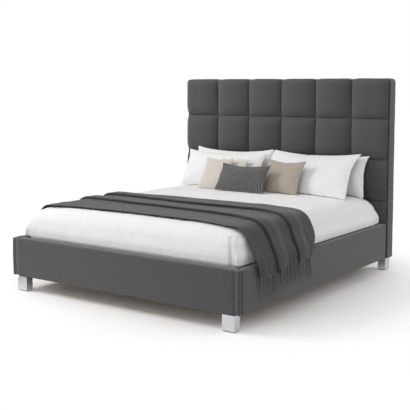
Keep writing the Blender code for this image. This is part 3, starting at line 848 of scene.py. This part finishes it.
class BED_OT_bedding(bpy.types.Operator):
    """White bedding pulled over the mattress and tucked down its sides"""

    bl_idname = "bed.bedding"
    bl_label = "Bedding"

    def execute(self, context):
        low, high = BEDDING_BOX
        middle_y = (low[1] + high[1]) / 2
        inner_x = high[0] - EDGE
        inner_y = (high[1] - low[1]) / 2 - EDGE
        top = high[2]
        drop = top - low[2] - EDGE + EDGE_ARC
        reach_x = inner_x + drop
        reach_y = inner_y + drop

        def place(u, v):
            flat_x = (2 * u - 1) * reach_x
            flat_y = (2 * v - 1) * reach_y
            over_x = max(0.0, abs(flat_x) - inner_x)
            over_y = max(0.0, abs(flat_y) - inner_y)
            travel = max(over_x, over_y)
            out, down = over_edge(travel)
            if travel == 0:
                x, y = flat_x, flat_y
            else:
                if over_x <= over_y:
                    turn = radians(45) * over_x / over_y
                else:
                    turn = radians(90) - radians(45) * over_y / over_x
                squareness = (sin(turn) ** 5 + cos(turn) ** 5) ** -0.2
                x = min(abs(flat_x), inner_x) + out * sin(turn) * squareness
                y = min(abs(flat_y), inner_y) + out * cos(turn) * squareness
                x *= 1 if flat_x > 0 else -1
                y *= 1 if flat_y > 0 else -1
            z = top - down - bed_crown(x, y) * max(0.0, 1 - down / 0.1)
            point = Vector((x, y + middle_y, z))
            soft = ripple(point, 4.0, 8.0) + 0.5 * ripple(point, 11.0, 5.0)
            crease = abs(ripple((point.x * 2.2, point.y, point.z), 6.0, 11.0))
            lift = 0.0022 * soft - 0.003 * max(0.0, 0.16 - crease) / 0.16
            pleat = 0.0
            if over_x > 0 and over_y > 0 and travel > 0.04:
                share = over_x / over_y if over_x <= over_y else 2 - over_y / over_x
                pleat = PLEAT_DEPTH * exp(-((share - 0.80) / 0.07) ** 2) * min(1.0, (travel - 0.04) / 0.12)
            if travel < EDGE_ARC / 2:
                point.z += lift
            else:
                inward = Vector((-x, -y, 0)).normalized()
                if over_x == 0:
                    inward = Vector((0, -y, 0)).normalized()
                elif over_y == 0:
                    inward = Vector((-x, 0, 0)).normalized()
                spread = SIDE_SPREAD
                if over_x <= over_y:
                    spread = 0 if y > 0 and over_y > over_x else FOOT_SPREAD
                over_rail = ease((0.500 - z) / 0.075) * ease((z - 0.381) / 0.008)
                point += inward * (0.002 - lift * 0.6 + pleat - spread * over_rail)
            return point

        obj = sheet_grid("white_bedding", *BEDDING_GRID, place)
        outward(obj)
        apply_modifier(obj, "SOLIDIFY", thickness=BEDDING_THICKNESS, offset=-1)
        smooth(obj)
        finish_piece(obj, "white_cotton", ["duvet"])
        hem = self.hem()
        return {"FINISHED"}

    def hem(self):
        """A folded hem of the bedding that stands up along the throw's edge, down to the rail."""
        def place(u, v):
            at = 0.35 + u * 0.70
            y = FOOTBOARD_BOX[0][1] + read_line(HEAD_LINE, at) + 0.013
            if at < DROP_START:
                middle = Vector((at, BED_TOP - bed_crown(at, y) + 0.002))
                out = Vector((0, 1))
            else:
                flat, out = drop_point(at - DROP_START)
                middle = Vector((flat.x, flat.y)) - out * 0.001
            swell = 0.0085 * min(1.0, u / 0.3)
            turn = 2 * pi * v
            point = middle + out * (swell * (0.2 + sin(turn)))
            return Vector((point.x, y + 1.3 * swell * cos(turn), point.y))

        obj = closed_tube("bedding_hem", 90, 12, place)
        smooth(obj)
        return finish_piece(obj, "white_cotton")


EASED = 0.12            # how far behind a fold's edge the cloth has come down again
LAYER_HEIGHT = 0.003    # the lowest layer over the bedding, and the turn between two layers
LIP_RADIUS = 0.0065     # of a fold's rounded edge
THROW_COLUMNS = 220
THROW_THICKNESS = 0.003


def fold_stack(near, first, second, far, overlap):
    """The throw's path over its folds: (distance from the footboard, height over the bed) points."""
    base = under = LAYER_HEIGHT
    lip = LIP_RADIUS
    top = base + 2 * under + 2 * lip
    path = []

    def run(start, end, low, high, steps):
        for step in range(steps):
            share = step / steps
            path.append((start + share * (end - start), low + ease(share) * (high - low)))

    def turn(middle, height, radius, towards, steps):
        for step in range(steps):
            angle = pi * step / steps
            path.append((middle + towards * radius * sin(angle), height + radius * (1 - cos(angle))))

    def fold(start, at, steps):
        run(start, at + overlap, base, base, steps)
        turn(at + overlap, base, under, 1, 5)
        run(at + overlap, at + lip, base + 2 * under, base + 2 * under, 7)
        turn(at + lip, base + 2 * under, lip, -1, 8)
        run(at + lip, at + overlap + 0.01, top, top - 0.002, 9)
        run(at + overlap + 0.01, at + overlap + EASED, top - 0.002, base, 7)

    run(near, first - 0.02, base + 0.004, base, 20)
    fold(first - 0.02, first, 6)
    fold(first + overlap + EASED, second, 18)
    run(second + overlap + EASED, far, base, base, 16)
    path.append((far, base))
    return path


FOLD_ROWS = len(fold_stack(0.0, 0.3, 0.6, 1.0, 0.09)) - 1
HEM_TRAVEL = ((0.0, 0.412), (0.30, 0.416), (0.37, 0.388), (0.69, 0.384), (0.76, 0.382), (1.0, 0.384))


def throw_point(across, row):
    """A point of the throw: across from -1 to 1 between its hems, row down its folded path."""
    travel_end = DROP_START + read_line(HEM_TRAVEL, row / FOLD_ROWS) + 0.004 * sin(across * 3 + row * 0.2)
    at = across * travel_end
    near = read_line(FOOT_LINE, abs(at))
    first = read_line(FIRST_FOLD, at)
    second = read_line(SECOND_FOLD, at)
    far = read_line(HEAD_LINE, at)
    overlap = 0.085 if abs(at) < 0.8 else max(0.05, 0.085 - 0.12 * (abs(at) - 0.8))
    along, height = fold_stack(near, first, second, far, overlap)[row]
    y = FOOTBOARD_BOX[0][1] + along
    side = 1 if at > 0 else -1
    over = max(0.0, abs(at) - DROP_START)
    if over == 0:
        base = Vector((at, BED_TOP + 0.0035 - bed_crown(at, y)))
        out = Vector((0, 1))
    else:
        flat, out = drop_point(over)
        under = bed_crown(DROP_START, y) * max(0.0, 1 - over / 0.12)
        base = Vector((side * flat.x, flat.y + 0.002 - under))
        out = Vector((side * out.x, out.y))
    wave = 0.5 + 0.5 * ripple((at * 0.8, along * 1.6, 0), 9.0, 21.0)
    fine = 0.5 + 0.5 * ripple((at, along * 1.5, 0), 26.0, 17.0)
    lift = 0.0055 * wave + 0.002 * fine
    if over > 0.03:
        share = min(1.0, (over - 0.03) / 0.3)
        lift += share * 0.008 * (0.5 + 0.5 * ripple((along * 2.6, at * 0.5, 0), 9.0, 9.0))
    base += out * (height + lift)
    return Vector((base.x, y, base.y))


def tassel(name, top, length, lean, seed):
    """A two-ply twisted tassel: a knot under the hem, then a cord that tapers to a frayed tip."""
    turns = 5.0

    def place(u, v):
        angle = 2 * pi * v
        twist = 2 * pi * turns * u
        lobe = 0.62 + 0.38 * abs(cos(angle - twist))
        width = 0.0054 * (1 - 0.25 * u)
        knot = 0.0022 * exp(-((u - 0.05) / 0.03) ** 2)
        flare = 0.0018 * max(0.0, (u - 0.93) / 0.07)
        reach = width * lobe + knot + flare
        drift = Vector((lean[0] * u * u, lean[1] * u * u, 0))
        sway = 0.006 * u * ripple((seed, u * 2, 0), 3.0, seed)
        return Vector(top) + drift + Vector((
            reach * cos(angle), reach * sin(angle) + sway, -length * u,
        ))

    return closed_tube(name, 34, 10, place)


class BED_OT_throw(bpy.types.Operator):
    """Wool throw in three folds across the foot of the bed, with a twisted fringe at both hems"""

    bl_idname = "bed.throw"
    bl_label = "Throw"

    def execute(self, context):
        def place(u, v):
            return throw_point(2 * u - 1, round(v * FOLD_ROWS))

        obj = sheet_grid("folded_throw", THROW_COLUMNS, FOLD_ROWS, place)
        lowest_layer = obj.data.polygons[THROW_COLUMNS * 3 + THROW_COLUMNS // 2]
        if lowest_layer.normal.z < 0:
            with editing(obj):
                bpy.ops.mesh.flip_normals()
        apply_modifier(obj, "SOLIDIFY", thickness=THROW_THICKNESS, offset=0)
        smooth(obj)
        finish_piece(obj, "grey_wool", ["throw"])
        fringes = [self.fringe(side, sizes()) for side in (-1, 1)]
        return {"FINISHED"}

    def fringe(self, side, size):
        """A row of tassels along the hem of each fold, on one side of the bed."""
        made = []
        for number, row in enumerate(self.fringe_rows(size)):
            top = throw_point(side, row)
            seed = number * 1.7 + side
            length = size.tassel_length * (1 + 0.07 * ripple((seed, 0, 0), 2.3, 3.0))
            lean = (
                side * (0.004 + 0.004 * ripple((seed, 2, 0), 2.7, 8.0)),
                0.004 + 0.030 * ripple((seed, 1, 0), 1.9, 5.0),
            )
            top.x += side * 0.001
            top.z += 0.006
            made.append(tassel(f"tassel_{side}_{number}", top, length, lean, seed))
        deselect_all()
        for obj in made:
            obj.select_set(True)
        bpy.context.view_layer.objects.active = made[0]
        bpy.ops.object.join()
        name = "right_fringe" if side > 0 else "left_fringe"
        joined = named_active(name)
        smooth(joined)
        return finish_piece(joined, "grey_wool", finish="grey_fringe")

    def fringe_rows(self, size):
        """Evenly spaced rows of the folded path that show at the hem, on each fold."""
        spans = ((0, 25), (47, 78), (100, FOLD_ROWS))
        rows = []
        for start, end in spans:
            for step in range(size.tassels):
                rows.append(round(start + (end - start) * (step + 0.5) / size.tassels))
        return rows


# ---------------------------------------------------------------- pillows and cushions

BED_TOP = BEDDING_BOX[1][2]
HEAD_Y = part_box("headboard_tufted_pad")[0][1]
SEAM_SPACE = 0.012      # between the two layers of an empty case
CASE_CLOTH = {
    "quality": 6, "mass": 0.25, "tension_stiffness": 24, "compression_stiffness": 16, "shear_stiffness": 6,
    "bending_stiffness": 0.15, "use_pressure": True, "shrink_min": -0.02,
}
AIR_PRESSURE = 5.0
FILLING_FRAMES = 22
OWN_WIDTH = 0.25        # how much of the filled case's own outline stays, across and along
OWN_HEIGHT = 0.12
RIB_COUNT = 25
RIB_HEIGHT = 0.0028
SINK_REACH = 0.11       # how much of a pillow's lower part gives way
CLEARANCE = 0.0015      # between a pillow and the bedding
# CAD node: slot; size across, along the slope and thick; middle across; lower edge to the headboard;
# lift over the bedding; lean and turn in degrees; fill; how far its top, left and right are drawn in.
PADS = {
    "left_back_pillow":
        ("white_cotton", (0.78, 0.34, 0.10), -0.395, 0.195, 0.006, 70, 0, 0.5, 0.038, 0.022, -0.006),
    "right_back_pillow":
        ("white_cotton", (0.78, 0.32, 0.11), 0.455, 0.15, 0.006, 70, 0, 0.5, 0.022, 0.010, 0.034),
    "left_front_pillow":
        ("white_cotton", (0.78, 0.33, 0.10), -0.41, 0.325, 0.008, 64, 0, 0.5, 0.034, 0.022, 0.0),
    "right_front_pillow":
        ("white_cotton", (0.79, 0.43, 0.10), 0.41, 0.385, 0.005, 48, 0, 0.5, 0.034, -0.014, 0.046),
    "ivory_cushion":
        ("ivory_linen", (0.27, 0.26, 0.04), -0.108, 0.40, 0.026, 64, 0, 0.6, 0.010, 0.010, 0.010),
    "cream_cushion":
        ("cream_linen", (0.27, 0.26, 0.05), -0.212, 0.475, 0.026, 60, 0, 0.6, 0.010, 0.010, 0.010),
    "beige_cushion":
        ("beige_linen", (0.27, 0.28, 0.06), -0.316, 0.55, 0.026, 58, 3, 0.6, 0.020, 0.010, 0.010),
    "taupe_cushion":
        ("taupe_linen", (0.34, 0.30, 0.08), 0.268, 0.485, 0.018, 56, 0, 0.6, 0.024, 0.014, 0.014),
    "lumbar_cushion":
        ("grey_knit", (0.455, 0.24, 0.065), -0.014, 0.61, 0.030, 58, 0, 0.6, 0.026, 0.010, 0.012),
}


def flat_case(name, wide, tall, spacing):
    """Two layers of cloth joined round their edge, slightly apart, as a case before it is filled."""
    columns = max(8, round(wide / spacing))
    rows = max(8, round(tall / spacing))
    deselect_all()
    bpy.ops.mesh.primitive_grid_add(x_subdivisions=columns, y_subdivisions=rows, size=1.0)
    obj = named_active(name)
    obj.scale = (wide, tall, 1.0)
    settle(obj)
    apply_modifier(obj, "SOLIDIFY", thickness=SEAM_SPACE, offset=0)
    for vert in obj.data.vertices:
        u = 2 * vert.co.x / wide
        v = 2 * vert.co.y / tall
        rim = max(0.0, (1 - u * u) * (1 - v * v)) ** 0.5
        vert.co.z *= 0.15 + 3.2 * rim
    return obj


def blow_up(obj, pressure, frames, seed):
    """Fills the case with air as cloth, and keeps the shape that it takes."""
    for vert in obj.data.vertices:
        vert.co.z += 0.0008 * ripple(vert.co, 22.0, seed)
    modifier = obj.modifiers.new("Filling", "CLOTH")
    for key, value in CASE_CLOTH.items():
        setattr(modifier.settings, key, value)
    modifier.settings.uniform_pressure_force = pressure
    modifier.settings.effector_weights.gravity = 0
    modifier.collision_settings.use_collision = False
    modifier.point_cache.frame_start = 1
    modifier.point_cache.frame_end = frames
    scene = bpy.context.scene
    for frame_number in range(1, frames + 1):
        scene.frame_set(frame_number)
    activate(obj)
    bpy.ops.object.modifier_apply(modifier=modifier.name)
    scene.frame_set(1)


def outline(u, v, size, top_pull, left_pull, right_pull):
    """Where a case's cloth lies across its seam's plane: ears at its corners, its foot on the bedding."""
    wide, tall, _ = size
    waist = 1.9 * (0.5 * (1 + v)) ** 1.2 * max(0.0, 1 - v) ** 0.6
    side_pull = right_pull if u > 0 else -left_pull
    x = u * wide / 2 - side_pull * waist * abs(u) ** 3
    pull = top_pull if v > 0 else 0.2 * top_pull
    y = v * tall / 2 - (1 if v > 0 else -1) * pull * (1 - u * u) * abs(v) ** 3
    return x, y


def fit_case(obj, rest, size, pulls, seed):
    """Brings a filled case to its size: its own creases stay, and its weight settles towards its foot."""
    wide, tall, thick = size
    reach = [max(abs(vert.co[i]) for vert in obj.data.vertices) for i in range(3)]
    for vert, start in zip(obj.data.vertices, rest):
        u = max(-1.0, min(1.0, 2 * start.x / wide))
        v = max(-1.0, min(1.0, 2 * start.y / tall))
        x, y = outline(u, v, size, *pulls)
        own_x = vert.co.x * wide / 2 / reach[0]
        own_y = vert.co.y * tall / 2 / reach[1]
        depth = vert.co.z * thick / 2 / reach[2]
        inner = (1 - u * u) * (1 - v * v)
        slump = 1 - 0.16 * v
        crease = ripple((u * 1.3, v * 2.0, seed), 2.6, seed) + 0.6 * ripple((u * 2, v, seed), 6.0, seed + 3)
        fan = abs(ripple((atan2(1 - v, 1 - abs(u)) * 3.2, seed, u > 0), 2.2, seed))
        from_corner = sqrt((1 - abs(u)) ** 2 + (1 - abs(v)) ** 2)
        crease = (0.0035 * crease - 0.006 * fan * exp(-from_corner / 0.35)) * inner ** 0.4
        side = 1 if vert.co.z > 0 else -1
        vert.co.x = x + OWN_WIDTH * (own_x - x)
        vert.co.y = y + OWN_HEIGHT * (own_y - y)
        vert.co.z = depth * slump + side * crease


def knit_ribs(obj, size):
    """Wavy ribs across the lumbar cushion, raised in the mesh, with their crowns marked for the material's
    painted highlight.
    """
    wide = size[0]
    layer = obj.data.attributes.new("rib", "FLOAT", "POINT")
    normals = [vert.normal.copy() for vert in obj.data.vertices]
    for vert, normal in zip(obj.data.vertices, normals):
        bend = 0.010 * sin(vert.co.y * 24 + 4 * ripple(vert.co, 4.0, 2.0))
        bend += 0.010 * ripple((vert.co.x, vert.co.y * 0.6, 0), 14.0, 7.0)
        wave = sin(2 * pi * RIB_COUNT * (vert.co.x + bend) / wide)
        rib = max(0.0, wave) ** 0.8
        # This mark lightens the rib crowns in the knit's material: painted highlight.
        layer.data[vert.index].value = rib
        vert.co += normal * RIB_HEIGHT * rib


def bed_surface(x, y):
    """Height of the bedding under a pillow, where its sides already turn down."""
    over = min(max(0.0, abs(x) - BEDDING_BOX[1][0] + EDGE), 0.9 * EDGE)
    return BED_TOP - bed_crown(x, y) - (EDGE - sqrt(EDGE ** 2 - over ** 2)) + 0.0035


def rest_on_bed(obj):
    """Lets the lower part of a pillow sink until its edge follows the bedding."""
    verts = obj.data.vertices
    left = min(vert.co.x for vert in verts)
    strip = 0.02
    lowest = [0.03] * (int((max(vert.co.x for vert in verts) - left) / strip) + 2)
    gaps = []
    for vert in verts:
        gap = vert.co.z - bed_surface(vert.co.x, vert.co.y)
        gaps.append(gap)
        at = round((vert.co.x - left) / strip)
        lowest[at] = min(lowest[at], gap)
    for vert, gap in zip(verts, gaps):
        if gap < SINK_REACH:
            at = (vert.co.x - left) / strip
            before = lowest[int(at)]
            after = lowest[min(int(at) + 1, len(lowest) - 1)]
            low = before + (at - int(at)) * (after - before)
            vert.co.z += CLEARANCE + (gap - low) * (SINK_REACH - CLEARANCE) / (SINK_REACH - low) - gap


class BED_OT_pillows(bpy.types.Operator):
    """Two pairs of pillows against the headboard and five cushions in front of them"""

    bl_idname = "bed.pillows"
    bl_label = "Pillows and cushions"

    def execute(self, context):
        for node, (slot, size, x, to_head, lift, lean, turn, fill, *pulls) in PADS.items():
            wide, tall, _ = size
            spacing = 0.018 if wide > 0.5 else 0.0125
            obj = flat_case(node + "_case", wide, tall, spacing)
            rest = [vert.co.copy() for vert in obj.data.vertices]
            blow_up(obj, AIR_PRESSURE, FILLING_FRAMES, x * 7)
            fit_case(obj, rest, size, pulls, x * 5)
            subdivide_surface(obj)
            if slot == "grey_knit":
                subdivide_surface(obj)
                knit_ribs(obj, size)
            slope = radians(lean)
            obj.rotation_euler = (slope, 0, radians(turn))
            obj.location = (
                x, HEAD_Y - to_head + tall / 2 * cos(slope), BED_TOP + lift + tall / 2 * sin(slope)
            )
            settle(obj)
            rest_on_bed(obj)
            outward(obj)
            smooth(obj)
            finish_piece(obj, slot, [node])
        return {"FINISHED"}


# ---------------------------------------------------------------- frame and stage

class BED_OT_frame_finishes(bpy.types.Operator):
    """Finishes of the timber, steel, chrome and plastic parts that keep their own shape"""

    bl_idname = "bed.frame_finishes"
    bl_label = "Frame finishes"

    def execute(self, context):
        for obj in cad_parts.values():
            for holder in obj.material_slots:
                holder.material = finish_of(holder.material.name.split(".")[0])
        return {"FINISHED"}


class BED_OT_stage(bpy.types.Operator):
    """White floor, soft studio light and the camera"""

    bl_idname = "bed.stage"
    bl_label = "Stage"

    def execute(self, context):
        scene = context.scene
        deselect_all()
        bpy.ops.mesh.primitive_plane_add(size=60, location=(0, 0, -0.0005))
        ground = settle(named_active("studio_floor"))
        shade = Shade("studio_floor_white", (0.93, 0.93, 0.93), 0.9)
        shade.paint(shade.tint(shade.noise(shade.place(), 2.0), 0.995, 1.005))
        self.fade(shade)
        ground.data.materials.append(shade.mat)
        self.sky(scene)
        self.lamp("key_light", (-4.0, -3.0, 3.9), (0, 0.3, 0.6), 2.4, 200)
        self.lamp("front_light", (1.6, -6.0, 2.6), (0.2, 0.3, 0.6), 3.0, 65)
        self.lamp("top_light", (0.2, -0.6, 5.0), (0, 0, 0), 4.0, 40)
        self.lamp("side_light", (4.6, 2.6, 2.2), (0.8, 0.4, 0.4), 3.0, 70)
        camera = bpy.data.cameras.new("camera")
        camera.lens = 74.79
        camera.sensor_width = 36
        camera.shift_y = -0.10
        camera.clip_end = 100
        holder = bpy.data.objects.new("camera", camera)
        holder.location = (3.6373, -5.1924, 1.4555)
        holder.rotation_euler = (radians(90 - 5.2666), 0, radians(35.5222))
        scene.collection.objects.link(holder)
        scene.camera = holder
        scene.view_settings.view_transform = "Standard"
        return {"FINISHED"}

    def sky(self, scene):
        """White all round to the eye, and a softer white as light."""
        world = bpy.data.worlds.new("studio")
        world.use_nodes = True
        tree = world.node_tree
        white = (1, 1, 1, 1)
        light = tree.nodes["Background"]
        join_sockets(tree, light, {"Color": white, "Strength": 0.52})
        seen = put_node(tree, "ShaderNodeBackground", {"Color": white, "Strength": 1.0})
        rays = put_node(tree, "ShaderNodeLightPath", {})
        choice = put_node(tree, "ShaderNodeMixShader", {
            "Fac": rays.outputs["Is Camera Ray"], 1: light.outputs[0], 2: seen.outputs[0],
        })
        join_sockets(tree, tree.nodes["World Output"], {"Surface": choice.outputs[0]})
        scene.world = world

    def fade(self, shade):
        """The floor runs out into the white round it."""
        vector = shade.place(scale=(0.46, 0.46, 0.46))
        reach = shade.node("ShaderNodeTexGradient", {"Vector": vector}, gradient_type="SPHERICAL")
        ramp = shade.node("ShaderNodeValToRGB", {"Fac": reach.outputs["Fac"]})
        ramp.color_ramp.interpolation = "EASE"
        ramp.color_ramp.elements[0].position = 0.06
        ramp.color_ramp.elements[1].position = 0.50
        clear = shade.node("ShaderNodeBsdfTransparent", {})
        choice = shade.node("ShaderNodeMixShader", {
            "Fac": ramp.outputs["Color"], 1: clear.outputs[0], 2: shade.shader.outputs[0],
        })
        join_sockets(shade.tree, shade.tree.nodes["Material Output"], {"Surface": choice.outputs[0]})

    def lamp(self, name, place, target, width, power):
        data = bpy.data.lights.new(name, "AREA")
        data.shape = "DISK"
        data.size = width
        data.energy = power
        obj = bpy.data.objects.new(name, data)
        obj.location = place
        obj.rotation_euler = (Vector(target) - Vector(place)).to_track_quat("-Z", "Y").to_euler()
        bpy.context.scene.collection.objects.link(obj)


OPERATORS = (
    BED_OT_tufted_headboard, BED_OT_headboard_border, BED_OT_rail_upholstery, BED_OT_bedding,
    BED_OT_throw, BED_OT_pillows, BED_OT_frame_finishes, BED_OT_stage,
)


class BED_PT_builder(bpy.types.Panel):
    """Buttons for each part of the bed, and its sizes and colours"""

    bl_idname = "BED_PT_builder"
    bl_label = "Upholstered bed"
    bl_space_type = "VIEW_3D"
    bl_region_type = "UI"
    bl_category = "Bed"

    def draw(self, context):
        layout = self.layout
        for operator in OPERATORS:
            layout.operator(operator.bl_idname)
        for group, kind in ((sizes(), BedSizes), (colors(), BedColors)):
            box = layout.box()
            for name in kind.__annotations__:
                box.prop(group, name)


CLASSES = (BedSizes, BedColors, *OPERATORS, BED_PT_builder)


def register():
    for cls in CLASSES:
        bpy.utils.register_class(cls)
    bpy.types.Scene.bed_sizes = PointerProperty(type=BedSizes)
    bpy.types.Scene.bed_colors = PointerProperty(type=BedColors)


def unregister():
    del bpy.types.Scene.bed_colors
    del bpy.types.Scene.bed_sizes
    for cls in reversed(CLASSES):
        bpy.utils.unregister_class(cls)


def main():
    register()
    bpy.ops.bed.tufted_headboard()
    bpy.ops.bed.headboard_border()
    bpy.ops.bed.rail_upholstery()
    bpy.ops.bed.bedding()
    bpy.ops.bed.throw()
    bpy.ops.bed.pillows()
    bpy.ops.bed.frame_finishes()
    bpy.ops.bed.stage()
    deselect_all()


if __name__ == "__main__":
    main()
